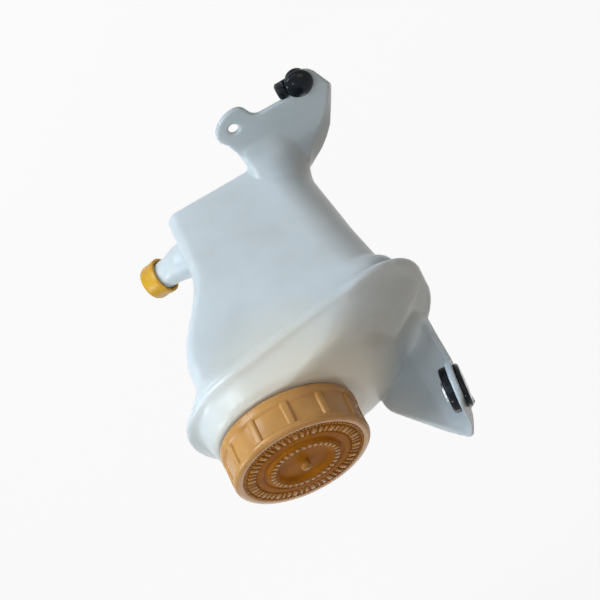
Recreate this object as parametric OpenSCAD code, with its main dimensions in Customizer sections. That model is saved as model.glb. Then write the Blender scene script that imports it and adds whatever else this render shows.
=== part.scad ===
// Power steering fluid reservoir: a two-shell moulded tank with a screw cap,
// two hose ports under push-on transport plugs, and two rubber-cushioned mounts.
// Heights are drawn downward from the middle of the cap's top face, on the neck
// axis. At the end everything is moved so that the origin is the centre of the
// upper mounting bush.

/* [Tank] */
// Wall thickness of both shells
wall = 2.6; // [2.2:0.1:3]
// Reach of the brim to the right of the neck axis
brim_right = 46; // [44.5:0.5:48]
// Reach of the brim to the left of the neck axis
brim_left = 93; // [90:1:96]
// Half the depth of the brim, front to back
brim_half = 44.5; // [43.5:0.5:46]
// Height of the rolled edge of the brim
brim_height = 5; // [4:0.5:6]
// Depth of the tank's floor below the top of the cap
floor_depth = 143.5; // [140:0.5:147]
// Half the depth of the lower shell at its floor
body_half = 33; // [31:1:35]

/* [Neck and cap] */
// Outer radius of the filler neck
neck_r = 29.5; // [29:0.25:30]
// Outer radius of the cap's grip
cap_r = 35; // [34.6:0.2:36.4]
// Height of the cap
cap_height = 19; // [18.5:0.5:20]
// Number of grip ribs around the cap
grip_count = 12; // [8:1:16]
// Width of one grip rib
grip_w = 4.4; // [3.6:0.2:5]

/* [Ports] */
// Outer radius of the hose port that shows at the front
port_r = 7.4; // [7:0.1:7.8]
// Length of that port outside the tank
port_length = 28.5; // [26:0.5:31]
// Turn of that port toward the back
port_turn = 22; // [18:1:26]
// Slope of that port below the level
port_drop = 10; // [7:1:12]
// Outer radius of the suction port at the back
suction_r = 9.5; // [9:0.25:10]
// Length of the suction port outside the tank
suction_length = 28; // [24:1:32]

/* [Ear bracket] */
// Thickness of the ear's bolted plate
ear_plate = 3.4; // [3:0.2:4.2]
// Lean of the ear's plate toward the neck
ear_lean = 8; // [6:1:10]
// Radius of the bolt hole through the steel sleeve
bolt_r = 3.2; // [3.1:0.05:3.3]
// Outer radius of the ear's rubber grommet
ear_grommet_r = 11.5; // [11:0.25:12]

/* [Foot bracket] */
// Thickness of the foot plate
foot_plate = 3.2; // [3:0.1:3.6]
// Slope of the foot plate, down toward the front
foot_slope = 16; // [14:1:18]
// Radius of the clip hole in the foot's tab
tab_hole_r = 2.7; // [2.6:0.1:3.2]
// Radius of the stud socket in the foot's rubber button
stud_r = 3; // [2.6:0.1:3.2]

/* [Hidden] */

$fn = 96;
milky = [0.87, 0.89, 0.88];
ochre = [0.80, 0.55, 0.22];
amber = [0.93, 0.68, 0.15];
rubber = [0.10, 0.10, 0.11];
steel = [0.72, 0.73, 0.75];
nylon = [0.93, 0.92, 0.88];

// Overlap of joined volumes inside one piece
bite = 0.4;
// Running gap between pieces that only rest in each other
rest_gap = 0.05;
// Points on each corner of a shell's section
corner_points = 11;

// Height of the weld line under the neck, and the two terms of its fall to the left
weld_z = -38.1;
fall_slope = 0.064;
fall_curve = 0.00144;
function fall(x) = fall_slope * x - fall_curve * x * x;

// Neck and cap levels
neck_top = -4.5;
neck_bottom = -23.6;
neck_bore = neck_r - 3;
ledge_z = -9.5;
ledge_bore = neck_bore - 1.6;
collar_r = 34;
collar_z = -20.4;
cap_top_wall = 2.5;
liner_r = neck_bore - 0.35;

// Where the two ports leave the tank
port_base = [3, -19, -123.5];
port_bore = port_r - 2.4;
plug_skirt = 10.5;
plug_wall = 1.5;
suction_base = [-30, body_half - 1, -126];
suction_bore = suction_r - 2.5;

// Centre of the ear's bush, and of the foot's rubber button on its plate
ear_centre = [-80.1, 13, -0.8];
ear_hole_r = 8;
sleeve_r = 4.75;
foot_origin = [0, -body_half, 1 - floor_depth];
button_at = [-86.8, 29.5];
button_r = 7.4;
button_dome = 2.8;
button_hole_r = 4.4;
tab_at = [-47.9, 24.8];

// A ring of points around one level of a shell. A section is
// [x left, x right, y front, y back, [back right, back left, front left, front right
// corner radii], height at the neck axis, share of the weld line's fall, and how far
// the back left corner is drawn in, if it is].
function arc(x, y, r, from) =
    [for (i = [0 : corner_points - 1])
        let (a = from + 90 * (i + 0.5) / corner_points)
        [x + r * cos(a), y + r * sin(a)]];
function drawn_in(s) = len(s) > 7 ? s[7] : 0;
function plan(s) = let (r = s[4]) concat(
    arc(s[1] - r[0], s[3] - r[0], r[0], 0),
    arc(s[0] + drawn_in(s) + r[1], s[3] - r[1], r[1], 90),
    arc(s[0] + r[2], s[2] + r[2], r[2], 180),
    arc(s[1] - r[3], s[2] + r[3], r[3], 270));
function ring(s) = [for (p = plan(s)) [p[0], p[1], s[5] + s[6] * fall(p[0])]];
// The same section moved inward by d, and lifted by dz
function inset(s, d, dz = 0) =
    [s[0] + d, s[1] - d, s[2] + d, s[3] - d, [for (r = s[4]) max(r - d, 1.5)], s[5] + dz, s[6],
     drawn_in(s)];
function circle_section(r, z) = [-r, r, -r, r, [r, r, r, r], z, 0];

// Skin through a list of sections. Closed: the last meets the first, as a hollow
// ring does. Open: the first and last are filled in, as the wall of a cup. Inward is
// for a list that runs the other way round its material, so each face is turned over.
module skin(sections, closed, inward = false) {
    n = 4 * corner_points;
    count = len(sections);
    points = [for (s = sections) each ring(s)];
    steps = closed ? count : count - 1;
    sides = [for (j = [0 : steps - 1], i = [0 : n - 1])
        let (k = (j + 1) % count, m = (i + 1) % n)
        each [[j * n + i, k * n + i, k * n + m], [j * n + i, k * n + m, j * n + m]]];
    ends = closed ? [] : [[for (i = [0 : n - 1]) i],
                          [for (i = [0 : n - 1]) (count - 1) * n + (n - 1 - i)]];
    faces = concat(sides, ends);
    polyhedron(points, inward ? [for (f = faces) [f[0], f[2], f[1]]] : faces, convexity = 8);
}

// Width of the lower shell at depth z: straight on the left, waisted on the right
function smooth(t) = let (c = min(max(t, 0), 1)) c * c * (3 - 2 * c);
function body_left(z) = -78 - 0.125 * (z + 60) - 4.5 * smooth((z + 57) / 9);
function body_right(z) = 26.8 - 20.3 * smooth((-z - 56) / 50) - 0.01 * (-z - 104);
function body_section(z) =
    let (y = body_half + 3 * (floor_depth + z) / (floor_depth - 45))
    [body_left(z), body_right(z), -y, y, [14, 18, 20, 7], z, max(0, 1 + (z + 42) / 48)];

body_levels = [-136, -124, -112, -104, -98, -92, -86, -80, -74, -68, -62, -56, -50, -45];
floor_round = [[0, 3], [0.4, 1.7], [1.2, 0.6], [2.6, 0]];
body_outer = concat(
    [for (f = floor_round) inset(body_section(f[0] - floor_depth), f[1])],
    [for (z = body_levels) body_section(z)]);
body_inner = concat(
    [for (i = [len(body_levels) - 1 : -1 : 0]) inset(body_section(body_levels[i]), wall)],
    [inset(body_section(wall + 2 - floor_depth), wall + 0.6),
     inset(body_section(wall - floor_depth), wall + 3.5)]);
// The welding flange under the brim
flange_section = [-85.5, 37, -40, 40, [33, 24, 28, 26], weld_z, 1];
flange_z = 2.6;
mouth_section = inset(body_section(-45), wall);
mouth_top = [mouth_section[0], mouth_section[1], mouth_section[2], mouth_section[3],
             mouth_section[4], weld_z, 1];

module port_place() {
    translate(port_base) rotate([0, 0, port_turn]) rotate([0, 90 + port_drop, 0]) children();
}

module suction_place() {
    translate(suction_base) rotate([-90, 0, 0]) children();
}

// A hose port along +Z from inside the wall, with a tapered root and a retaining bead
// near its end
module hose_port(r, length) {
    rotate_extrude()
        polygon([[0, -6], [r + 2, -6], [r + 2, 6], [r + 1.2, 9.5], [r, 15], [r, length - 6],
                 [r + 0.7, length - 4.5], [r + 0.7, length - 3.5], [r - 0.6, length],
                 [0, length]]);
}

module foot_place() {
    translate(foot_origin) rotate([foot_slope, 0, 0]) children();
}

// The foot plate folds down along its left side. Both lines run from the tank to the
// plate's corner, x to the right and distance forward from the tank's front.
fold_line = [[-70, -19.5], [-74.1, -13.8], [-78, -7.3], [-81.5, -2.9], [-85.2, 0.2],
             [-90, 4.7], [-95.2, 11], [-100.2, 20.2]];
fold_foot = [[-70.3, -24.3], [-75.1, -21.1], [-81.2, -17.2], [-86.2, -12.6], [-91.5, -6.1],
             [-94.6, 0.4], [-98.3, 8.2], [-101.6, 15.6]];
fold_drop = 6;
fold_wall = 2.6;
// Outline of the foot plate with the tab's blunt end and the corner that carries the
// rubber button, and the same with the folded side laid out flat
tab_end = [[-62, 25.2], [-59.4, 27], [-58.3, 29.7], [-57.3, 32.2], [-55.3, 34.1],
           [-52.6, 34.9], [-49.2, 34.6], [-45.5, 33.3], [-41.6, 30.7], [-38.9, 27.6],
           [-38, 24.2], [-38.6, 21]];
function foot_outline(side) = concat(
    [[-42.5, -12]], side,
    [for (a = [150 : -14 : 80]) [-87.4 + 10.2 * cos(a), 25.2 + 10 * sin(a)]],
    [[-81, 33], [-80.6, 24.8]], tab_end, [[-41, 18], [-43, 11], [-44, 3]]);

// Solid through a row of sections with the same count of corners
module row(sections) {
    k = len(sections[0]);
    n = len(sections);
    sides = [for (j = [0 : n - 2], i = [0 : k - 1]) let (a = j * k, b = a + k, m = (i + 1) % k)
        each [[a + i, b + i, b + m], [a + i, b + m, a + m]]];
    polyhedron([for (s = sections) each s],
               concat(sides, [[for (i = [0 : k - 1]) i],
                              [for (i = [k - 1 : -1 : 0]) (n - 1) * k + i]]), convexity = 4);
}

// The folded side, an even wall that starts inside the plate
module foot_fold() {
    row([for (i = [0 : len(fold_line) - 1])
        let (a = fold_line[i], b = fold_foot[i], root = a + 1.2 * (a - b) / norm(a - b))
        [[each root, bite - foot_plate], [each b, -fold_drop - fold_wall],
         [each b, -fold_drop], [each a, -bite], [each root, -bite]]]);
}

module foot_bracket() {
    foot_place() difference() {
        union() {
            mirror([0, 1, 0]) translate([0, 0, -foot_plate])
                linear_extrude(foot_plate) polygon(foot_outline(fold_line));
            mirror([0, 1, 0]) foot_fold();
            // stiffening wall under the right edge
            mirror([0, 1, 0]) translate([0, 0, -9]) linear_extrude(9 - bite)
                polygon([[-44, 1], [-43, 12], [-41.6, 18], [-44.4, 18.6], [-45.8, 12], [-47, 1]]);
        }
        mirror([0, 1, 0]) translate([tab_at[0], tab_at[1], -20]) cylinder(r = tab_hole_r, h = 30);
        mirror([0, 1, 0]) translate([button_at[0], button_at[1], -20])
            cylinder(r = button_hole_r, h = 30);
    }
}

// Hollow curve by which the tank's front and left side run out into the foot plate.
// It sinks by as much as makes it meet the plate at the plate's own slope.
flare_r = 20;
flare_sink = 4.1;
module foot_flare() {
    intersection() {
        skin([for (a = [80 : -8 : 0])
            let (out = flare_r * (1 - cos(a)), t = out / flare_r)
            [-69.4 - 0.8 * out, -44, -body_half - out, -8, [3, 6 + 20 * t, 18, 4],
             flare_r * (1 - sin(a)) - floor_depth - flare_sink, 0]], false);
        foot_place() mirror([0, 1, 0]) translate([0, 0, -6]) linear_extrude(40)
            polygon(foot_outline(fold_foot));
    }
}

module lower_shell() {
    color(milky) difference() {
        union() {
            skin(concat(body_outer,
                [inset(flange_section, 1.5, -flange_z - 1.2), inset(flange_section, 0, -flange_z),
                 flange_section, mouth_top], body_inner), false);
            difference() {
                union() {
                    port_place() hose_port(port_r, port_length);
                    suction_place() hose_port(suction_r, suction_length);
                    foot_bracket();
                    foot_flare();
                }
                skin(concat(body_inner_up(), [inset(mouth_top, 0.3)]), false);
            }
        }
        port_place() translate([0, 0, -12]) cylinder(r = port_bore, h = port_length + 20);
        suction_place() translate([0, 0, -8]) cylinder(r = suction_bore, h = suction_length + 20);
    }
}
// The tank's inside, floor to mouth, a little smaller than the hollow it trims to
function body_inner_up() = [for (i = [len(body_inner) - 1 : -1 : 0]) inset(body_inner[i], bite, 0)];

// Sections of the upper shell from the weld line up over the dome to the neck
brim_radii = [brim_half, 40, 34, brim_half];
brim_section = [-brim_left, brim_right, -brim_half, brim_half, brim_radii, weld_z, 1];
dome_outer = [
    inset(brim_section, 1.4, 0),
    inset(brim_section, 0.2, 1.2),
    inset(brim_section, 0, brim_height / 2),
    inset(brim_section, 0.3, brim_height - 1.2),
    inset(brim_section, 2, brim_height),
    [-88.4, 39.8, -42, 41.6, [39, 20, 40, 39], weld_z + brim_height - 0.9, 0.93, 16],
    [-85, 39, -41.2, 40.8, [38, 20, 40, 38], weld_z + brim_height + 2.2, 0.97, 15],
    [-79.4, 38.4, -40.3, 39.9, [37.6, 21, 39, 37.6], -29, 0.88, 12],
    [-72.6, 37.8, -39.4, 39, [37, 23, 38, 37], -26.4, 0.74, 8.5],
    [-65.8, 37.2, -38.4, 38, [36.4, 26, 37, 36.4], -24.2, 0.6, 4.6],
    [-59.2, 36.6, -37.4, 37, [36, 27, 36, 36], -22.7, 0.5, 2],
    [-53, 36, -36.4, 36.2, [35.6, 29, 35.4, 35.4], -21.7, 0.42, 0.6],
    [-47, 35.4, -35.5, 35.4, [35, 31, 34.4, 35], -21, 0.34, 0],
    [-41, 34.8, -34.8, 34.8, [34.4, 33, 33.6, 34.4], -20.5, 0.24, 0],
    circle_section(collar_r, collar_z),
    circle_section(neck_r - 1, collar_z + 0.2)];
dome_inner = concat(
    [circle_section(neck_r - 1.2, collar_z - wall)],
    [for (i = [len(dome_outer) - 4 : -1 : 6]) inset(dome_outer[i], wall, -wall * 0.6)],
    [[-79, 27, -33.5, 33.5, [26, 20, 32, 26], weld_z + 2.4, 1, 13], mouth_top, flange_section]);
// The shell's sections in the order in which the lower shell runs over the weld face,
// so that both split that face into the same triangles
dome = concat(dome_outer, dome_inner);
dome_backward = [for (i = [len(dome) - 1 : -1 : 0]) dome[i]];

// The filler neck with its sealing lip and the ledge that the strainer hangs on
module neck() {
    rotate_extrude()
        polygon([[neck_bore, neck_top], [neck_r - 0.5, neck_top], [neck_r, neck_top - 0.5],
                 [neck_r, neck_bottom], [ledge_bore, neck_bottom], [ledge_bore, ledge_z],
                 [neck_bore, ledge_z]]);
}

module ear_place() {
    translate(ear_centre) rotate([0, ear_lean, 0]) children();
}

// Plan of the ear: the bolted plate, folded in a round corner into a gusset. The
// root is thicker by a little on each side.
ear_fold = 15;
ear_lobe_r = 14.2;
ear_gusset = 3.2;
gusset_back = 27.4;
module ear_plan(more) {
    centre = [ear_fold - ear_plate / 2, gusset_back - ear_fold];
    difference() {
        union() {
            translate([-ear_plate / 2 - more, -20]) square([ear_plate + 2 * more, 20 + centre[1]]);
            translate([centre[0], gusset_back - ear_gusset - more]) square([40, ear_gusset + 2 * more]);
            translate(centre) circle(r = ear_fold + more);
        }
        translate(centre) circle(r = ear_fold - (ear_plate + ear_gusset) / 2 - more);
        translate([ear_plate / 2 + more, -21]) square([60, 21 + centre[1]]);
        translate(centre) square([60, ear_fold - ear_gusset - more]);
    }
}

// The ear is upright on the tank, and its bolted plate leans toward the neck
bend_z = -21;
bend_x = ear_centre[0] + (bend_z - ear_centre[2]) * tan(ear_lean);
module ear_bracket() {
    difference() {
        intersection() {
            union() {
                intersection() {
                    ear_place() translate([0, 0, -50]) linear_extrude(80) ear_plan(0);
                    translate([-120, -20, bend_z]) cube([100, 80, 60]);
                }
                translate([bend_x, ear_centre[1], -70]) linear_extrude(70 + bend_z + bite)
                    ear_plan(0.15);
            }
            // the gusset's slope, seen from the front
            translate([0, 60, 0]) rotate([90, 0, 0]) linear_extrude(90)
                polygon([[-110, -60], [-110, 2], [-84, 2.5], [-81.2, 7], [-78.4, 11.2],
                         [-76.4, 14.2], [-75, 15.2], [-73.2, 14.2], [-69.8, 9.9],
                         [-47.8, -17.6], [-45.4, -21], [-44.2, -25], [-44.2, -36], [-56, -50]]);
            // the plate's free edge, seen from the side: a round lobe on a narrow stem
            translate([-120, 0, 0]) rotate([90, 0, 90]) linear_extrude(90)
                polygon(concat([[42, 16], [20, 14.6]],
                    [for (a = [80 : 20 : 280])
                        [ear_centre[1] + ear_lobe_r * cos(a), ear_centre[2] + ear_lobe_r * sin(a)]],
                    [[19.5, -18], [24, -21.5], [24, -40], [20, -48], [10, -58], [6, -62], [42, -62]]));
        }
        ear_place() rotate([0, 90, 0]) translate([0, 0, -20]) cylinder(r = ear_hole_r, h = 40);
    }
}

module upper_shell() {
    color(milky) union() {
        skin(dome_backward, true, inward = true);
        neck();
        intersection() {
            ear_bracket();
            // the ear ends in the dome's wall, above the weld line
            skin([inset(brim_section, 1.6, 1.2), inset(brim_section, 1.6, 70)], false);
        }
    }
}

module filler_cap() {
    rib = 1.1;
    rim_h = 4.6;
    band_z = -1.7;
    color(ochre) difference() {
        union() {
            rotate_extrude()
                polygon([[0, 4.2], [1.5, 4], [2.3, 3.1], [2.5, 0.2], [12.8, 0],
                         [13.8, 1.3], [14.5, 1.7], [18.4, 1.7], [19.2, 0.5], [20.4, 0.4],
                         [20.8, 0.8], [23.6, 0.8], [24.2, 0.3], [31, 0.2], [31.4, 0.5],
                         [cap_r - 1, 0.5], [cap_r - 0.3, 0.1], [cap_r, -0.6], [cap_r, band_z],
                         [cap_r - rib, band_z - 0.8], [cap_r - rib, rim_h + 0.8 - cap_height],
                         [cap_r, rim_h - cap_height], [cap_r + 0.4, rim_h - 0.8 - cap_height],
                         [cap_r + 0.4, 0.6 - cap_height], [cap_r, -cap_height],
                         [0, -cap_height]]);
            for (k = [0 : grip_count - 1])
                rotate(-102 + 360 * k / grip_count)
                    translate([cap_r - 4, -grip_w / 2, 1 - cap_height])
                        cube([4, grip_w, cap_height + band_z - 0.4]);
        }
        translate([0, 0, -cap_height - 1])
            cylinder(r = neck_r + 2.1, h = cap_height + 1 - cap_top_wall);
    }
}

// Snap-in liner of the cap: a disc with a skirt that enters the neck
module cap_liner() {
    top = -cap_top_wall - rest_gap;
    skirt_end = ledge_z + basket_flange + 6 * rest_gap;
    color(nylon) difference() {
        rotate_extrude()
            polygon([[0, top], [liner_r - 1, top], [liner_r - 1, neck_top + 0.4],
                     [liner_r, neck_top], [liner_r - 0.4, skirt_end], [liner_r - 2.2, skirt_end],
                     [liner_r - 2.4, top - 1.8], [0, top - 1.8]]);
        translate([0, 0, -10]) cylinder(r = 1.6, h = 20);
        for (k = [0 : 5])
            rotate(60 * k) translate([4, 0, -10]) cylinder(r = 0.9, h = 20);
    }
}

// Flat seal between the cap and the lip of the neck
module cap_gasket() {
    color(rubber) rotate_extrude()
        polygon([[liner_r - 0.7, -cap_top_wall - rest_gap], [neck_r + 1.4, -cap_top_wall - rest_gap],
                 [neck_r + 1.4, neck_top + rest_gap], [liner_r + 0.4, neck_top + rest_gap],
                 [liner_r - 0.7, neck_top + 0.7]]);
}

// Rubber umbrella valve that covers the vent holes of the liner from below
module vent_valve() {
    under = -cap_top_wall - rest_gap - 1.8;
    color(rubber) rotate_extrude()
        polygon([[0, under - 2.6], [1.2, under - 2.6], [1.5, under - 1.2], [6.4, under - 0.5],
                 [6.4, under - rest_gap], [1.55, under - rest_gap], [1.55, under + 1.2],
                 [0, under + 1.2]]);
}

// Basket that hangs in the neck: a flange, six uprights and a closed foot
basket_r = ledge_bore - 1.2;
basket_bottom = -52;
basket_flange = 1.6;
module strainer_frame() {
    color(nylon) union() {
        translate([0, 0, ledge_z + rest_gap]) difference() {
            cylinder(r = neck_bore - 0.2, h = basket_flange);
            translate([0, 0, -1]) cylinder(r = basket_r - 1.6, h = 4);
        }
        translate([0, 0, ledge_z - 3]) difference() {
            cylinder(r = basket_r, h = 4);
            translate([0, 0, -1]) cylinder(r = basket_r - 1.6, h = 6);
        }
        for (k = [0 : 5])
            rotate(60 * k) translate([basket_r - 2.4, -1.1, basket_bottom])
                cube([2.2, 2.2, ledge_z - 2 - basket_bottom]);
        translate([0, 0, basket_bottom]) cylinder(r = basket_r, h = 2);
    }
}

// Woven strainer sleeve inside the uprights
module strainer_mesh() {
    r = basket_r - 2.45;
    color(steel) translate([0, 0, basket_bottom + 2 + rest_gap]) difference() {
        cylinder(r = r, h = ledge_z - 2.5 - basket_bottom - 2);
        translate([0, 0, -1]) cylinder(r = r - 0.5, h = 60);
    }
}

// Slotted plate across the tank that calms the returning fluid
module baffle_plate() {
    z = -98;
    s = inset(body_section(z), wall + 0.6);
    color(nylon) difference() {
        translate([0, 0, z]) linear_extrude(2) polygon(plan(s));
        for (k = [0 : 4])
            translate([-56 + 13 * k, -18, z - 1]) cube([4, 36, 4]);
    }
}

// Thimble filter pressed into the tank end of the suction port
module suction_filter_frame() {
    r = suction_bore - 0.1;
    color(nylon) suction_place() difference() {
        union() {
            translate([0, 0, -7]) cylinder(r = r, h = 9);
            translate([0, 0, -8.6]) cylinder(r = r + 1.6, h = 2.4);
        }
        translate([0, 0, -9]) cylinder(r = r - 1.4, h = 12);
        for (k = [0 : 2])
            rotate(60 * k) translate([-r - 1, -1.6, -5.4]) cube([2 * r + 2, 3.2, 5.4]);
    }
}

module suction_filter_mesh() {
    r = suction_bore - 0.1 - 1.45;
    color(steel) suction_place() difference() {
        translate([0, 0, -8]) cylinder(r = r, h = 10);
        translate([0, 0, -9]) cylinder(r = r - 0.4, h = 10.6);
    }
}

// Rubber bush with a groove for the ear's plate, and a bore for the sleeve
module ear_grommet() {
    groove = ear_plate / 2 + rest_gap;
    near_face = groove + 4;
    far_face = groove + 2.6;
    color(rubber) ear_place() rotate([0, 90, 0]) rotate_extrude()
        polygon([[sleeve_r + rest_gap, -far_face], [ear_grommet_r - 1.4, -far_face],
                 [ear_grommet_r - 0.4, -far_face + 1.2], [ear_grommet_r - 0.4, -groove],
                 [ear_hole_r - rest_gap, -groove], [ear_hole_r - rest_gap, groove],
                 [ear_grommet_r, groove], [ear_grommet_r, near_face - 0.8],
                 [ear_grommet_r - 0.8, near_face], [sleeve_r + rest_gap, near_face]]);
}

module ear_sleeve() {
    length_near = ear_plate / 2 + 4 + 1.4;
    length_far = ear_plate / 2 + 2.6 + 0.3;
    color(steel) ear_place() rotate([0, 90, 0]) translate([0, 0, -length_far]) difference() {
        cylinder(r = sleeve_r, h = length_far + length_near);
        translate([0, 0, -1]) cylinder(r = bolt_r, h = 40);
    }
}

// Rubber button with a blind socket for the car's stud, and the lug that keys it
// to the edge of the foot plate
module foot_grommet() {
    top = rest_gap;
    under = -foot_plate - rest_gap;
    color(rubber) foot_place() mirror([0, 1, 0]) translate([button_at[0], button_at[1], 0])
        difference() {
            union() {
                rotate_extrude() polygon(concat(
                    [[0, under - 2.4], [button_r - 2.4, under - 2.4], [button_r - 1.8, under - 1.8],
                     [button_r - 1.8, under], [button_hole_r - rest_gap, under],
                     [button_hole_r - rest_gap, top], [button_r, top], [button_r, top + 1]],
                    [for (a = [10 : 10 : 90])
                        [button_r * cos(a), top + 1 + button_dome * sin(a)]]));
                translate([0, -3, under - 2]) cube([11, 6, 2]);
                translate([6.5, -3.8, under - 2]) cube([5.4, 7.6, 2 + foot_plate + 2.4]);
            }
            translate([0, 0, -20]) cylinder(r = stud_r, h = 20 - foot_plate + 3.6);
        }
}

// A push-on transport plug around a port of radius r, open toward the tank
module transport_plug(r, length) {
    color(amber) rotate_extrude()
        polygon([[r + 0.75, length - plug_skirt + 1.4], [r + 0.75 + plug_wall, length - plug_skirt + 1.4],
                 [r + 0.75 + plug_wall, length - plug_skirt + 4],
                 [r + plug_wall + 0.4, length - plug_skirt + 4.6],
                 [r + plug_wall + 0.4, length - 1], [r + plug_wall - 0.8, length + 1],
                 [r - 1, length + 1.8], [0, length + 1.8], [0, length + rest_gap],
                 [r + 0.75, length + rest_gap]]);
}

module placed() {
    translate(-ear_centre) children();
}

placed() lower_shell();
placed() upper_shell();
placed() filler_cap();
placed() cap_liner();
placed() cap_gasket();
placed() vent_valve();
placed() strainer_frame();
placed() strainer_mesh();
placed() baffle_plate();
placed() suction_filter_frame();
placed() suction_filter_mesh();
placed() ear_grommet();
placed() ear_sleeve();
placed() foot_grommet();
placed() port_place() transport_plug(port_r, port_length);  // return_plug
placed() suction_place() transport_plug(suction_r, suction_length);  // suction_plug
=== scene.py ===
# %% [markdown]
# # A power steering reservoir
#
# This is the plastic tank that feeds oil to a car's steering pump. Two milky shells are
# moulded apart and welded at the brim, an ochre screw cap closes the neck, and two brackets
# hold the tank: an ear with a rubber bush and a foot with a rubber button.
#
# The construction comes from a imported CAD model, so nothing has to be fitted here. The
# pieces that show are dressed or modelled again at the same place. Lengths are written in
# millimetres and turned to metres, the unit that Blender counts in.

# %% Load the CAD model as a fixed frame
import math

import bpy
from mathutils import Matrix, Vector


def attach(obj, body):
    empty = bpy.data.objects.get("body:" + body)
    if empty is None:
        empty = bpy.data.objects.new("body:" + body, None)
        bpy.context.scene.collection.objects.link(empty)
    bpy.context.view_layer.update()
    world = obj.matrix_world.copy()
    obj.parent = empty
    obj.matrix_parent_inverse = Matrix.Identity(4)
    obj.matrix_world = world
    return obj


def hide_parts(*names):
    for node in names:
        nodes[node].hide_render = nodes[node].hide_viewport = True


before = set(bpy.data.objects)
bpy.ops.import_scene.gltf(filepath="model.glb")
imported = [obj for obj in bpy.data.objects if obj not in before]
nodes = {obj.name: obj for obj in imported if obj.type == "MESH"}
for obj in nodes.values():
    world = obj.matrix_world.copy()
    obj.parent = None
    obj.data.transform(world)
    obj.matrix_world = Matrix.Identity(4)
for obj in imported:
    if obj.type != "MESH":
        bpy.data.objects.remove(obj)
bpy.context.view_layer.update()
MM = 0.001

# %% [markdown]
# ## Colours and nodes
#
# Colours are written as the hex values that an image editor shows. Blender computes with
# linear light, so one function turns each value to linear by the curve of the sRGB
# standard. A second one adds a shader node together with its settings, values and links,
# which keeps each material short.

# %% Helpers for materials
def linear(hex_value):
    """An sRGB hex colour such as #D9DEE0 as linear red, green, blue and alpha."""
    parts = [int(hex_value[i:i + 2], 16) / 255 for i in (1, 3, 5)]
    return [p / 12.92 if p <= 0.04045 else ((p + 0.055) / 1.055) ** 2.4 for p in parts] + [1]


def add_node(material, kind, values=None, links=None, **settings):
    """Adds one shader node. Values and links are given by the name of the input socket."""
    node = material.node_tree.nodes.new("ShaderNode" + kind)
    for name, value in settings.items():
        setattr(node, name, value)
    for socket, value in (values or {}).items():
        node.inputs[socket].default_value = value
    for socket, source in (links or {}).items():
        material.node_tree.links.new(source, node.inputs[socket])
    return node


def new_material(name):
    """An empty node material, its output node and the object coordinates."""
    material = bpy.data.materials.new(name)
    material.use_nodes = True
    material.node_tree.nodes.clear()
    out = add_node(material, "OutputMaterial")
    coords = add_node(material, "TexCoord").outputs["Object"]
    return material, out, coords


print("middle grey in linear light:", [round(p, 3) for p in linear("#808080")])

# %% [markdown]
# ## What every finish is made of
#
# No real surface has one even colour, shine or height. Each finish here starts from a
# cloudy pattern that runs through the piece. The pattern shifts the colour between two
# close tones and the shine between two limits, and a finer pattern gives the relief. Its
# scale counts features per metre, so 24 makes clouds about 40 mm wide and 2400 makes a
# grain of about 0.4 mm. One function for each of these steps keeps the recipes apart
# from the wiring.

# %% Pattern, tones, shine, relief and skin
def pattern(material, coords, per_metre, detail, distortion=0.0, roughness=0.5):
    """A cloudy pattern between 0 and 1."""
    noise = add_node(material, "TexNoise",
                     {"Scale": per_metre, "Detail": detail, "Distortion": distortion,
                      "Roughness": roughness}, {"Vector": coords})
    return noise.outputs["Fac"]


def two_tones(material, clouds, dark, light, start=0.3, end=0.7):
    """A colour that goes from dark to light while the clouds go from start to end."""
    tint = add_node(material, "ValToRGB", links={"Fac": clouds})
    tint.color_ramp.elements[0].position = start
    tint.color_ramp.elements[0].color = linear(dark)
    tint.color_ramp.elements[1].position = end
    tint.color_ramp.elements[1].color = linear(light)
    return tint.outputs["Color"]


def uneven_shine(material, clouds, smooth, rough):
    """A roughness between two limits that follows the clouds."""
    shine = add_node(material, "MapRange", {"To Min": smooth, "To Max": rough}, {"Value": clouds})
    return shine.outputs["Result"]


def relief(material, height, strength, depth_mm, **under):
    """A bump of a depth in millimetres, laid over another where its Normal is given."""
    bump = add_node(material, "Bump", {"Strength": strength, "Distance": depth_mm * MM},
                    {"Height": height, **under})
    return bump.outputs["Normal"]


def with_skin(material, out, colour, shine, normal, values):
    """Joins colour, shine and relief in one shader and shows it."""
    skin = add_node(material, "BsdfPrincipled", values,
                    {"Base Color": colour, "Roughness": shine, "Normal": normal})
    material.node_tree.links.new(skin.outputs["BSDF"], out.inputs["Surface"])
    print("finish:", material.name)
    return material


# %% [markdown]
# ## Milky polypropylene for the tank
#
# The shells are natural, unpigmented polypropylene. Light goes a few millimetres into it
# and comes out again, so edges glow and shadows are soft. That is subsurface scattering.
# The colour isn't even. A slow cloud pattern shifts it a little. Round the neck a warmer,
# lighter colour is painted in: painted light, for the ochre cap shining through the wall.
# The foot plate and the ear get a darker, cool colour: painted shade. The mould's surface
# gives a fine grain, and the wall has shallow waves where it shrank.

# %% Milky polypropylene with painted light and shade
# Painted light and shade. Each place in mm, the distances of its full and of no effect, its share and
# its shade.
PAINTED_LIGHT_AND_SHADE = [
    # painted light: warmer and lighter under the cap
    ((66, -22, -16), 26, 62, 0.7, "#E6DDC8"),     # under the cap
    # painted shade: darker and cool on the foot plate
    ((5, -70, -150), 26, 46, 0.55, "#9FAEB6"),    # foot plate
    # painted shade: darker and cool on the ear
    ((3, 0, -4), 12, 36, 0.5, "#9CB0C2"),         # ear
]


def paint_light_and_shade_near(material, coords, colour, place, full, none, share, shade):
    """Mixes a colour of painted light and shade into a colour near a place and lets it fade out."""
    away = add_node(material, "VectorMath", {1: Vector(place) * MM}, {0: coords},
                    operation="DISTANCE")
    fade = add_node(material, "MapRange", {"From Min": full * MM, "From Max": none * MM,
                                           "To Min": share, "To Max": 0.0},
                    {"Value": away.outputs["Value"]}, interpolation_type="SMOOTHSTEP")
    mixed = add_node(material, "Mix", {"B": linear(shade)},
                     {"Factor": fade.outputs["Result"], "A": colour}, data_type="RGBA")
    return mixed.outputs["Result"]


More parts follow.
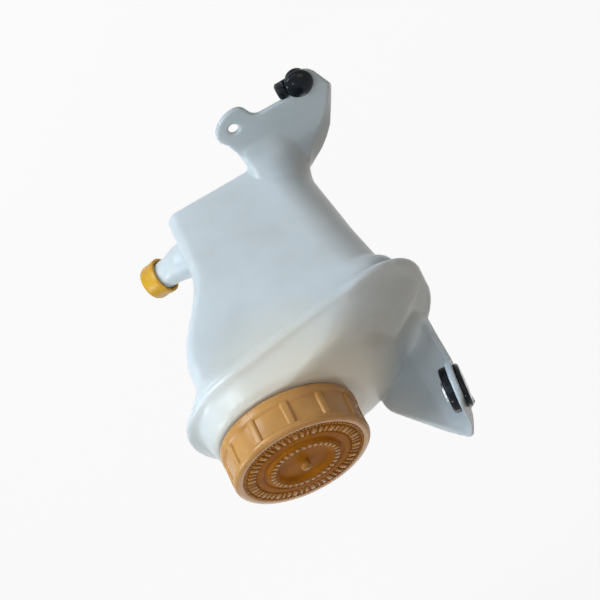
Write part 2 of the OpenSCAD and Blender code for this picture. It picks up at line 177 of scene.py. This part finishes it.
def milky_polypropylene():
    material, out, coords = new_material("milky_polypropylene")
    clouds = pattern(material, coords, 24, 3, roughness=0.55)
    colour = two_tones(material, clouds, "#C3C9C9", "#D3DADE", 0.32, 0.68)
    # Painted light under the cap, painted shade on the foot plate and the ear.
    for tint in PAINTED_LIGHT_AND_SHADE:
        colour = paint_light_and_shade_near(material, coords, colour, *tint)
    waves = relief(material, pattern(material, coords, 55, 1), 0.10, 1.0)
    grain = relief(material, pattern(material, coords, 2400, 2), 0.08, 0.2, Normal=waves)
    return with_skin(material, out, colour, uneven_shine(material, clouds, 0.24, 0.36), grain,
                     {"IOR": 1.49, "Subsurface Weight": 0.45, "Subsurface Scale": 0.005,
                      "Subsurface Radius": (1.0, 0.9, 0.8)})


tank_plastic = milky_polypropylene()

# %% [markdown]
# ## Ochre polypropylene for the cap
#
# The cap is pigmented, and it shows three finishes. The mould was polished for the sides,
# which are glossy, and eroded for the ground of the face, which is matt. Their colours are
# one ochre at three levels of painted light: the sides are paler with a painted sheen, the
# ground of the face is darker with painted shade, and the raised marks lie between the two.
# The pigment flows unevenly in the mould, which leaves faint swirls in all three. They
# differ only in their tones and their shine, so one function makes them.

# %% Three ochre finishes at three levels of painted light
def moulded(name, tones, shine, patches, grain, bump, skin):
    """A finish with patches in two tones and one fine grain, each given as its numbers."""
    material, out, coords = new_material(name)
    clouds = pattern(material, coords, *patches)
    height = pattern(material, coords, *grain)
    return with_skin(material, out, two_tones(material, clouds, *tones),
                     uneven_shine(material, clouds, *shine), relief(material, height, *bump), skin)


def ochre_polypropylene(name, dark, light, shine, gloss):
    return moulded(name, (dark, light), shine, patches=(70, 4, 0.6), grain=(900, 3),
                   bump=(0.18, 0.3),
                   skin={"IOR": 1.5, "Specular IOR Level": gloss, "Subsurface Weight": 0.08,
                         "Subsurface Scale": 0.002})


# One ochre three times: paler sides with painted sheen, marks with painted half shade, the face's
# ground darker with painted shade.
cap_plastic = ochre_polypropylene("ochre_polypropylene", "#B88242", "#C6924E", (0.18, 0.3), 0.36)
cap_mark_painted_half_shade = ochre_polypropylene("ochre_polypropylene_marks_painted_half_shade", "#A06C26", "#B47E36",
                                       (0.2, 0.3), 0.2)
cap_face_painted_shade = ochre_polypropylene("eroded_ochre_polypropylene_painted_shade", "#95570C", "#AE6E1A",
                                       (0.4, 0.55), 0.05)

# %% [markdown]
# ## The other finishes
#
# Nitrile rubber is nearly black and has a soft shine with a fine matt bloom. The transport
# plugs are soft amber polythene, clear enough to glow. The steel sleeve is zinc plated,
# the liner and the strainer are natural nylon, and the strainer's sleeve is woven wire.
# All but the wire differ only in colour, shine and grain, so one function makes them,
# and it takes the grain's real size in millimetres.

# %% Rubber, amber polythene, nylon and plated steel
def fine_grained(name, dark, light, shine, grain_mm, skin, strength=0.1):
    return moulded(name, (dark, light), shine, patches=(90, 3), grain=(1 / (grain_mm * MM), 2),
                   bump=(strength, grain_mm / 2), skin=skin)


nitrile_rubber = fine_grained("nitrile_rubber", "#0A1016", "#121A24", (0.08, 0.13), 0.5,
                              {"IOR": 1.52, "Specular IOR Level": 0.15}, strength=0.03)
amber_polythene = fine_grained("amber_polythene", "#C08A0C", "#D8A624", (0.24, 0.36), 0.6,
                               {"IOR": 1.51, "Specular IOR Level": 0.35,
                                "Subsurface Weight": 0.5, "Subsurface Scale": 0.003,
                                "Subsurface Radius": (1.0, 0.6, 0.15)})
natural_nylon = fine_grained("natural_nylon", "#D5D0C2", "#E2DED2", (0.4, 0.5), 0.6,
                             {"IOR": 1.53, "Subsurface Weight": 0.15, "Subsurface Scale": 0.002})
zinc_plated_steel = fine_grained("zinc_plated_steel", "#A9ADB2", "#C7CACD", (0.26, 0.36), 0.4,
                                 {"Metallic": 1.0})

# %% [markdown]
# Woven wire is too fine to model: its threads are about 0.8 mm apart. Two bands of waves
# that cross each other, one up the sleeve and one around it, stand for it in the bump.

# %% Woven wire
def woven_wire():
    material, out, coords = new_material("woven_wire")
    rows, columns = [add_node(material, "TexWave", {"Scale": 200}, {"Vector": coords},
                              bands_direction=way).outputs["Fac"] for way in ("Z", "DIAGONAL")]
    cloth = add_node(material, "Math", links={0: rows, 1: columns}, operation="MAXIMUM")
    wire = add_node(material, "BsdfPrincipled",
                    {"Base Color": linear("#9A9C9E"), "Metallic": 1.0, "Roughness": 0.35},
                    {"Normal": relief(material, cloth.outputs["Value"], 0.8, 0.4)})
    material.node_tree.links.new(wire.outputs["BSDF"], out.inputs["Surface"])
    print("finish:", material.name)
    return material


wire_cloth = woven_wire()

# %% [markdown]
# ## Helpers for modelling
#
# An operator acts on whatever is selected, so each step first selects what it means. The
# finished pieces must sit at the origin with their place in their mesh, so `settle` moves
# a piece to its place and applies that move. A place is a matrix, and long ones are read
# from left to right: go there, then turn.

# %% Select, apply and settle
def at(x, y, z):
    """A move, in millimetres."""
    return Matrix.Translation(Vector((x, y, z)) * MM)


def turn(degrees, axis):
    """A turn about the X, Y or Z axis."""
    return Matrix.Rotation(math.radians(degrees), 4, axis)


def deselect_all():
    """Leaves edit mode and selects nothing."""
    if bpy.context.object and bpy.context.object.mode != "OBJECT":
        bpy.ops.object.mode_set(mode="OBJECT")
    bpy.ops.object.select_all(action="DESELECT")


def select_only(*objects):
    """Selects these objects, the first as the active one."""
    deselect_all()
    for obj in objects:
        obj.select_set(True)
    bpy.context.view_layer.objects.active = objects[0]


def finish_with(obj, kind, **settings):
    """Adds a modifier with its settings and applies it at once."""
    select_only(obj)
    modifier = obj.modifiers.new(kind.lower(), kind)
    for name, value in settings.items():
        setattr(modifier, name, value)
    bpy.ops.object.modifier_apply(modifier=modifier.name)


def settle(obj, place):
    """Moves a piece to its place and writes the move into the mesh."""
    select_only(obj)
    obj.matrix_world = place
    bpy.ops.object.transform_apply(location=True, rotation=True, scale=True)


def shade_rounded(obj):
    """Shades faces that meet at less than 40 degrees as one smooth surface."""
    select_only(obj)
    bpy.ops.object.shade_smooth_by_angle(angle=math.radians(40))


def soften(obj, width, angle=28):
    """Rounds the edges where faces meet at more than an angle, and shades the piece."""
    finish_with(obj, "BEVEL", width=width * MM, segments=3, limit_method="ANGLE",
                angle_limit=math.radians(angle), harden_normals=False)
    shade_rounded(obj)


def dress(obj, material, body, slot, *stands_for):
    """Gives a new piece its finish and its body, and hides the CAD nodes that it stands for."""
    if material.name not in obj.data.materials:
        obj.data.materials.clear()
        obj.data.materials.append(material)
    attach(obj, body)
    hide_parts(*stands_for)
    print(obj.name, "has", len(obj.data.polygons), "faces")


print("CAD pieces to dress:", len(nodes))

# %% [markdown]
# ## The two moulded shells
#
# Nothing on a moulded shell is truly sharp. The CAD solids have the right form with crisp
# edges, so each shell starts as a copy of its solid. The copy is built again from small
# cubes, which joins walls, ports and brackets in one skin, and the skin is then relaxed.
# Every inner corner fills and every edge rounds, as in a mould. Bevels would have to be
# chosen edge by edge on this many faces.
#
# Where the brim's round corner cuts the ear's fold, the solid's wall is thinner than a
# cube. A curved wall of the full thickness is joined in first: one upright rectangle,
# spun about the middle of the corner.

# %% Copy, rebuild and relax the shells
CUBE = 0.8 * MM
SAME_POINT = 0.01 * MM
EAR_CORNER = (27.1, -8.5)


def moulded_shell(name, node, *joined):
    """A soft-edged copy of a CAD shell, with more solids joined in."""
    shell = bpy.data.objects.new(name, nodes[node].data.copy())
    bpy.context.scene.collection.objects.link(shell)
    select_only(shell, *joined)
    if joined:
        bpy.ops.object.join()
    bpy.ops.object.mode_set(mode="EDIT")
    bpy.ops.mesh.select_all(action="SELECT")
    bpy.ops.mesh.remove_doubles(threshold=SAME_POINT)
    bpy.ops.object.mode_set(mode="OBJECT")
    finish_with(shell, "REMESH", mode="VOXEL", voxel_size=CUBE)
    finish_with(shell, "SMOOTH", factor=0.5, iterations=5)
    return shell


def curved_wall(name, centre, radii, heights, start, sweep):
    """An upright wall along an arc, in millimetres and degrees."""
    deselect_all()
    bpy.ops.mesh.primitive_plane_add(size=MM, rotation=(math.radians(90), 0, 0))
    wall = bpy.context.object
    wall.name = name
    wall.scale = (radii[1] - radii[0], heights[1] - heights[0], 1)
    bpy.ops.object.transform_apply(location=True, rotation=True, scale=True)
    settle(wall, at(*centre, 0) @ turn(start, "Z") @ at(sum(radii) / 2, 0, sum(heights) / 2))
    bpy.ops.object.mode_set(mode="EDIT")
    bpy.ops.mesh.select_all(action="SELECT")
    # With no window a spin turns clockwise, so the sweep is given as negative.
    bpy.ops.mesh.spin(steps=12, angle=math.radians(-sweep), axis=(0, 0, 1),
                      center=(centre[0] * MM, centre[1] * MM, 0))
    bpy.ops.mesh.select_all(action="SELECT")
    bpy.ops.mesh.remove_doubles(threshold=SAME_POINT)
    bpy.ops.mesh.normals_make_consistent(inside=False)
    bpy.ops.object.mode_set(mode="OBJECT")
    print(name, "reaches from", [round(min(v.co[i] for v in wall.data.vertices) / MM, 1)
                                 for i in range(3)])
    return wall


ear_fold = curved_wall("ear_fold", EAR_CORNER, radii=(35.9, 38.3), heights=(-46, 5),
                       start=110, sweep=36)
tank_body = moulded_shell("tank_body", "lower_shell")
tank_dome = moulded_shell("tank_dome", "upper_shell", ear_fold)

# %% [markdown]
# Some places are rounder than the rest. A vertex group gives each point of a shell its
# share of a second round of relaxing, and the share depends on where the point is. One
# band lies over the brim, where the dome and the ear grow out of it in wide hollows. Two
# narrow bands round the brim's edges over and under the weld, and the last one is the
# lower edge of the foot plate, which is placed in the plate's own sloping frame.

# %% Relax the hollows, the brim's edges and the foot plate's edge
NECK_X = 80.1
FOOT = at(NECK_X, -46.0, -141.7) @ turn(16, "X")
EAR_FACE_X = -3
WELD_AT_NECK, WELD_SLOPE, WELD_CURVE = -37.3, 0.064, -0.00144


def ramp(value, start, end):
    """0 at the start, 1 at the end, and even in between."""
    return min(max((value - start) / (end - start), 0), 1)


def weld_height(x):
    """Height of the weld line in millimetres. The line falls to the left along a curve."""
    from_neck = x - NECK_X
    return WELD_AT_NECK + WELD_SLOPE * from_neck + WELD_CURVE * from_neck * from_neck


def over_weld(low, high, fade):
    """Share of a point between two heights over the weld line, without the ear's face."""
    def share(point):
        over = point.z / MM - weld_height(point.x / MM)
        return ramp(over, low - fade, low) * ramp(over, high + fade, high) * (point.x > EAR_FACE_X * MM)
    return share


def under_foot(point):
    """Share of a point near the foot plate's lower edge, clear of the tank beside it."""
    x, y, z = (FOOT.inverted() @ point) / MM
    clear_of_tank = x < -36 and (y < -1 or x < -66)
    return ramp(z, -1.8, -3.4) * clear_of_tank


def relax_where(shell, share, passes):
    """Relaxes the points of a shell by their share between 0 and 1."""
    group = shell.vertex_groups.new(name="soft")
    for vertex in shell.data.vertices:
        weight = share(vertex.co)
        if weight > 0:
            group.add([vertex.index], weight, "REPLACE")
    finish_with(shell, "SMOOTH", factor=0.5, iterations=passes, vertex_group="soft")
    shell.vertex_groups.clear()
    print(shell.name, "relaxed", passes, "times")


relax_where(tank_dome, over_weld(4.6, 13, 1.2), 90)
relax_where(tank_dome, over_weld(1.4, 4.8, 1.0), 16)
relax_where(tank_body, over_weld(-5, -1.4, 1.0), 16)
relax_where(tank_body, under_foot, 25)
for shell in (tank_body, tank_dome):
    finish_with(shell, "DECIMATE", ratio=0.4)
    select_only(shell)
    bpy.ops.object.shade_smooth()
dress(tank_body, tank_plastic, "tank", "tank_plastic", "lower_shell")
dress(tank_dome, tank_plastic, "tank", "tank_plastic", "upper_shell")

# %% [markdown]
# ## Turned pieces
#
# The cap, the bush, the sleeve, the button and the plugs are round, so each is drawn as
# one half section and turned. With operators that means: add a circle, then extrude it and
# scale it to the next radius of the section, again and again. A section that goes round a
# hole is closed by bridging its last ring to its first.

# %% Turn a section
def turned(name, section, sides=72, ring=False):
    """A round piece from (radius, height) pairs in millimetres, outside to inside."""
    deselect_all()
    bpy.ops.mesh.primitive_circle_add(vertices=sides, radius=section[0][0] * MM)
    piece = bpy.context.object
    piece.name = name
    bpy.ops.object.mode_set(mode="EDIT")
    bpy.ops.mesh.select_all(action="SELECT")
    bpy.ops.transform.translate(value=(0, 0, section[0][1] * MM))
    if not ring:
        bpy.ops.mesh.edge_face_add()
        bpy.ops.mesh.select_all(action="SELECT")
    for (r0, z0), (r1, z1) in zip(section, section[1:]):
        bpy.ops.mesh.extrude_edges_move(TRANSFORM_OT_translate={"value": (0, 0, (z1 - z0) * MM)})
        bpy.ops.transform.resize(value=(r1 / r0, r1 / r0, 1), center_override=(0, 0, z1 * MM))
    if ring:
        bpy.ops.mesh.select_all(action="DESELECT")
        bpy.ops.mesh.select_mode(type="EDGE")
        bpy.ops.mesh.select_non_manifold()
        bpy.ops.mesh.bridge_edge_loops()
    else:
        bpy.ops.mesh.edge_face_add()
    bpy.ops.mesh.select_all(action="SELECT")
    bpy.ops.mesh.normals_make_consistent(inside=False)
    bpy.ops.object.mode_set(mode="OBJECT")
    print(name, "is turned from", len(section), "points")
    return piece


# %% [markdown]
# ## The screw cap
#
# The cap is a deep dish turned upside down. Its face has a smooth rim, a wide ring with
# moulded marks, a plain ring, a higher ring and a flat middle with a nub where the plastic
# entered the mould. Around the side runs a recess between two plain bands, crossed by
# twelve grip ribs. The section of the whole cap, face, side and hollow, is turned at once.
# Only the face inside the rim gets the darker ochre with painted shade, and the nub gets that of the
# marks, with painted half shade.

# %% Turn the cap
CAP_SECTION = [
    # the nub
    (0.4, 4.4), (1.5, 4.1), (2.4, 3.3), (2.8, 2.2), (2.7, 1.0), (2.4, 0.2),
    # the flat middle and the higher ring round it
    (12.8, 0.0), (13.8, 1.3), (14.5, 1.7), (18.4, 1.7), (19.2, 0.5),
    # the plain ring and the wide ring
    (20.4, 0.4), (20.8, 0.8), (23.6, 0.8), (24.2, 0.3), (30.6, 0.2),
    # the smooth rim and the upper band
    (31.1, 0.6), (32.8, 0.6), (34.0, 0.2), (34.7, -0.5), (35.0, -1.4), (34.9, -2.2),
    # the recess and the lower band
    (33.9, -2.9), (33.9, -13.6), (35.0, -14.4), (35.4, -15.2), (35.4, -18.4), (35.0, -18.95),
    # the hollow
    (31.6, -18.95), (31.6, -2.5), (0.4, -2.5)]
FACE_RADIUS = 30.9
NUB_RADIUS = 2.9

cap_shell = turned("screw_cap", CAP_SECTION, sides=144)
soften(cap_shell, 0.35)
for finish in (cap_plastic, cap_face_painted_shade, cap_mark_painted_half_shade):
    cap_shell.data.materials.append(finish)
# The face inside the rim gets the copy with painted shade, and the nub the copy of the marks with
# painted half shade.
for face in cap_shell.data.polygons:
    from_axis, height = face.center.xy.length / MM, face.center.z / MM
    if height > -0.3 and from_axis < FACE_RADIUS:
        face.material_index = 2 if from_axis < NUB_RADIUS and height > 0.3 else 1
print("cap shell:", len(cap_shell.data.polygons), "faces")

# %% [markdown]
# One rib is a box with its edges rounded almost to a half round. It stands in the recess,
# level with the bands. The others are copies, each turned one twelfth further.

# %% Grip ribs
def rounded_box(name, size, centre, edge, segments=3):
    """A box with rounded edges, sizes in millimetres, centred at a point."""
    deselect_all()
    bpy.ops.mesh.primitive_cube_add(size=1)
    box = bpy.context.object
    box.name = name
    box.dimensions = [s * MM for s in size]
    box.location = [c * MM for c in centre]
    bpy.ops.object.transform_apply(location=True, rotation=True, scale=True)
    finish_with(box, "BEVEL", width=edge * MM, segments=segments)
    shade_rounded(box)
    return box


def turned_copies(first, count, start=0):
    """Copies of a piece around the Z axis, each with its own mesh, joined with the first."""
    copies = [first]
    for k in range(1, count):
        select_only(first)
        bpy.ops.object.duplicate()
        copies.append(bpy.context.object)
    for k, copy in enumerate(copies):
        settle(copy, turn(start + 360 * k / count, "Z") @ copy.matrix_world)
    select_only(*copies)
    bpy.ops.object.join()
    print(count, "times", first.name)
    return bpy.context.object


rib = rounded_box("grip_rib", (3.4, 4.4, 14.2), (33.4, 0, -8.9), edge=1.35, segments=5)
ribs = turned_copies(rib, 12, start=-102)
ribs.data.materials.append(cap_plastic)

# %% [markdown]
# The wide ring carries a moulded relief for the fingers. Plain bars of three widths stand
# there in turn, with a fine comb outside them and smaller blocks on the high ring. A mark
# that repeats is made once and copied around. The marks get their finish before they are
# joined to the cap, because faces that bring none along would take none over.

# %% Raised blocks and the comb on the face
reliefs = []
for label, width, start in [("wide_block", 2.3, 0), ("slim_block", 1.2, 7), ("round_block", 1.7, 13)]:
    block = rounded_box(label, (4.1, width, 1.4), (26.7, 0, 0.45), edge=0.5)
    reliefs.append(turned_copies(block, 18, start))
for label, size, centre, count in [("comb_tooth", (1.2, 0.75, 0.9), (30.2, 0, 0.35), 110),
                                   ("small_block", (2.3, 1.7, 0.9), (16.5, 0, 1.75), 34)]:
    block = rounded_box(label, size, centre, edge=0.2, segments=2)
    reliefs.append(turned_copies(block, count))
for marks in reliefs:
    marks.data.materials.append(cap_mark_painted_half_shade)
select_only(cap_shell, ribs, *reliefs)
bpy.ops.object.join()
settle(cap_shell, at(NECK_X, -13.0, 0.8))
dress(cap_shell, cap_plastic, "cap", "cap_plastic", "filler_cap")

# %% [markdown]
# ## The bush in the ear
#
# The bush is a rubber spool: two flanges with a groove between them that snaps into the
# ear's hole. A steel tube runs through it so that the bolt can be tightened without
# crushing the rubber. The ear leans, so both are laid on their side and leant with it.

# %% Bush and sleeve
EAR_LEAN = 8
EAR = turn(90 + EAR_LEAN, "Y")
bush = turned("ear_bush", [(4.8, -4.35), (10.1, -4.35), (11.1, -3.2), (11.1, -1.75), (7.95, -1.75),
                           (7.95, 1.75), (11.5, 1.75), (11.5, 4.95), (10.7, 5.75), (4.8, 5.75)],
              ring=True)
soften(bush, 0.45)
settle(bush, EAR)
dress(bush, nitrile_rubber, "tank", "rubber", "ear_grommet")

sleeve = turned("bush_sleeve", [(3.2, -4.6), (4.75, -4.6), (4.75, 7.1), (3.2, 7.1)], ring=True)
soften(sleeve, 0.25)
settle(sleeve, EAR)
dress(sleeve, zinc_plated_steel, "tank", "sleeve_steel", "ear_sleeve")

# %% [markdown]
# ## The button on the foot
#
# The rubber button has a domed head, a neck through the plate and a wider end below, with
# a blind socket for the car's pin. Beside it a short lug hooks over the plate's edge. The
# foot slopes, so the button is placed in the plate's own frame.

# %% Rubber button and lug
dome = [(7.4 * math.cos(math.radians(a)), 1.05 + 2.8 * math.sin(math.radians(a)))
        for a in range(80, -1, -8)]
neck_and_socket = [(7.4, 0.05), (4.35, 0.05), (4.35, -3.25), (5.6, -3.25), (5.6, -5.05),
                   (5.0, -5.65), (3.0, -5.65), (3.0, 0.4), (0.5, 0.4)]
button = turned("foot_button", [(0.5, 3.84)] + dome + neck_and_socket)
soften(button, 0.3, angle=35)
web = rounded_box("button_web", (7.0, 6.0, 2.0), (7.5, 0, -4.25), edge=0.4)
lug = rounded_box("button_lug", (5.4, 7.6, 7.6), (9.2, 0, -1.45), edge=2.2, segments=5)
select_only(button, web, lug)
bpy.ops.object.join()
settle(button, FOOT @ at(-86.8, -29.5, 0))
dress(button, nitrile_rubber, "tank", "rubber", "foot_grommet")

# %% [markdown]
# ## The transport plugs
#
# New tanks are sent out with soft plugs pushed over their ports to keep dirt out. Each is
# a cup with a thicker rim. Both are turned along +Z and then laid along their port.

# %% Plugs on the two ports
def transport_plug(name, port_radius, port_end, place, body, node):
    """A plug over the end of a port. The pairs go out from the port's radius and its end."""
    section = [(0.75, 0.05), (0.75, -9.1), (2.25, -9.1), (2.25, -6.5), (1.9, -5.9), (1.9, -1.0),
               (1.2, 0.7), (-0.8, 1.8)]
    middle = 0.5
    plug = turned(name, [(middle, port_end + 0.05)]
                  + [(port_radius + out, port_end + along) for out, along in section]
                  + [(middle, port_end + 1.8)])
    soften(plug, 0.4)
    settle(plug, place)
    dress(plug, amber_polythene, body, "plug_plastic", node)


RETURN_PORT = at(83.1, -32.0, -122.7) @ turn(22, "Z") @ turn(100, "Y")
SUCTION_PORT = at(50.1, 19.0, -125.2) @ turn(-90, "X")
transport_plug("front_plug", 7.4, 28.5, RETURN_PORT, "return_plug_body", "return_plug")
transport_plug("rear_plug", 9.5, 28.0, SUCTION_PORT, "suction_plug_body", "suction_plug")

# %% [markdown]
# ## Inside pieces
#
# The liner, the strainer, the baffle and the filter have their true form in CAD already.
# They keep it and get their finish.

# %% Finishes on the CAD pieces
inside = {"cap_liner": natural_nylon, "cap_gasket": nitrile_rubber, "vent_valve": nitrile_rubber,
          "strainer_frame": natural_nylon, "strainer_mesh": wire_cloth,
          "baffle_plate": natural_nylon, "suction_filter_frame": natural_nylon,
          "suction_filter_mesh": wire_cloth}
for name, material in inside.items():
    nodes[name].data.materials.clear()
    nodes[name].data.materials.append(material)
    print(name, "is", material.name)

# %% [markdown]
# ## Floor and world
#
# The tank floats above a plain pale floor. To the camera, and in a mirror or through
# glass, the floor and the world are nearly white. They light the tank no more than a pale
# room would, or its sides would lose their shading. The light path node tells the two
# kinds of ray apart.

# %% Floor and world
def seen_directly(owner):
    """1 for a ray from the camera, off a mirror or through glass, and 0 for any other."""
    path = add_node(owner, "LightPath")
    seen = path.outputs["Is Camera Ray"]
    for kind in ("Is Glossy Ray", "Is Transmission Ray"):
        either = add_node(owner, "Math", links={0: seen, 1: path.outputs[kind]}, operation="MAXIMUM")
        seen = either.outputs["Value"]
    return seen


def pale_floor():
    material, out, coords = new_material("pale_floor")
    glow = add_node(material, "Emission", {"Color": linear("#FFFFFF"), "Strength": 1.0})
    paint = add_node(material, "BsdfDiffuse", {"Color": linear("#EDEDED")})
    share = add_node(material, "Math", {1: 0.92}, {0: seen_directly(material)}, operation="MULTIPLY")
    mix = add_node(material, "MixShader", links={0: share.outputs["Value"], 1: paint.outputs["BSDF"],
                                                 2: glow.outputs["Emission"]})
    material.node_tree.links.new(mix.outputs["Shader"], out.inputs["Surface"])
    return material


deselect_all()
bpy.ops.mesh.primitive_plane_add(size=8, location=(0, 0, -0.32))
floor = bpy.context.object
floor.name = "floor"
floor.data.materials.append(pale_floor())

ROOM_STRENGTH = 0.11
world = bpy.data.worlds.new("pale_room")
bpy.context.scene.world = world
world.use_nodes = True
world.node_tree.nodes.clear()
room_out = add_node(world, "OutputWorld")
room = add_node(world, "Background", {"Color": linear("#F4EBDA"), "Strength": ROOM_STRENGTH})
white = add_node(world, "Background", {"Color": linear("#F8F8F8"), "Strength": 1.0})
mix = add_node(world, "MixShader", links={0: seen_directly(world), 1: room.outputs["Background"],
                                          2: white.outputs["Background"]})
world.node_tree.links.new(mix.outputs["Shader"], room_out.inputs["Surface"])
print("floor", round(floor.dimensions.x), "m wide, room of strength", ROOM_STRENGTH)

# %% [markdown]
# ## Lamps
#
# Each lamp is a rectangular panel that looks at the middle of the tank. A helper places
# it by direction and distance, because that is how light is judged.
#
# The key is a tall cool panel close by at the right and a little low, so its light falls
# off across the flat front. The window is a narrow one at the right, whose reflection
# lies as a streak on the dome. The front panel is wide and opens the shadows. The top
# lamp is tiny and makes the glint on the rubber button, the left one is warm and fills
# the side that the key doesn't reach, and the back one lights the edges from behind.

# %% Lamps
MIDDLE = Vector((40, -15, -65)) * MM


def panel(name, direction, distance, width, height, power, colour):
    """A rectangular lamp, with its distance and its size in metres and its power in watts."""
    lamp = bpy.data.lights.new(name, "AREA")
    lamp.shape = "RECTANGLE"
    lamp.size = width
    lamp.size_y = height
    lamp.energy = power
    lamp.color = linear(colour)[:3]
    obj = bpy.data.objects.new(name, lamp)
    bpy.context.scene.collection.objects.link(obj)
    obj.location = MIDDLE + Vector(direction).normalized() * distance
    obj.rotation_euler = (MIDDLE - obj.location).to_track_quat("-Z", "Y").to_euler()
    print(name, "lamp:", power, "W from", distance, "m")


panel("key", (0.68, -0.74, -0.2), 0.6, 0.25, 0.8, 4.3, "#E6F4FF")
panel("window", (0.86, -0.06, 0.42), 0.7, 0.12, 0.3, 1.3, "#E8F6FF")
panel("front", (0.1, -0.9, 0.4), 1.2, 0.8, 0.8, 2.5, "#E2EEFF")
panel("top", (0.25, -0.14, 0.95), 1.2, 0.06, 0.06, 1.2, "#FFFAF2")
panel("left", (-0.4, -0.5, 0.75), 1.2, 0.5, 0.5, 1.8, "#FFE8CC")
panel("back", (0.2, 0.9, 0.3), 1.2, 0.8, 0.8, 2.2, "#FFFFFF")

# %% [markdown]
# ## Camera
#
# The camera stands 65 cm away, looks down at about 33 degrees and is rolled over, so the
# tank shows upside down.

# %% Camera
CAMERA_PLACE = Vector((9.5, -587.8, 295.9)) * MM
CAMERA_AIM = Vector((44.25, -44.2, -58.7)) * MM
CAMERA_ROLL = 152.2

camera_data = bpy.data.cameras.new("camera")
camera_data.lens = 82.25
camera_data.sensor_width = 36
camera = bpy.data.objects.new("camera", camera_data)
bpy.context.scene.collection.objects.link(camera)
camera.location = CAMERA_PLACE
looking = (CAMERA_AIM - camera.location).normalized()
upright = looking.to_track_quat("-Z", "Y").to_matrix().to_4x4()
camera.matrix_world = Matrix.Translation(camera.location) @ upright @ turn(CAMERA_ROLL, "Z")
bpy.context.scene.camera = camera
bpy.context.scene.view_settings.view_transform = "Standard"
print("camera distance in mm:", round((CAMERA_AIM - CAMERA_PLACE).length / MM))
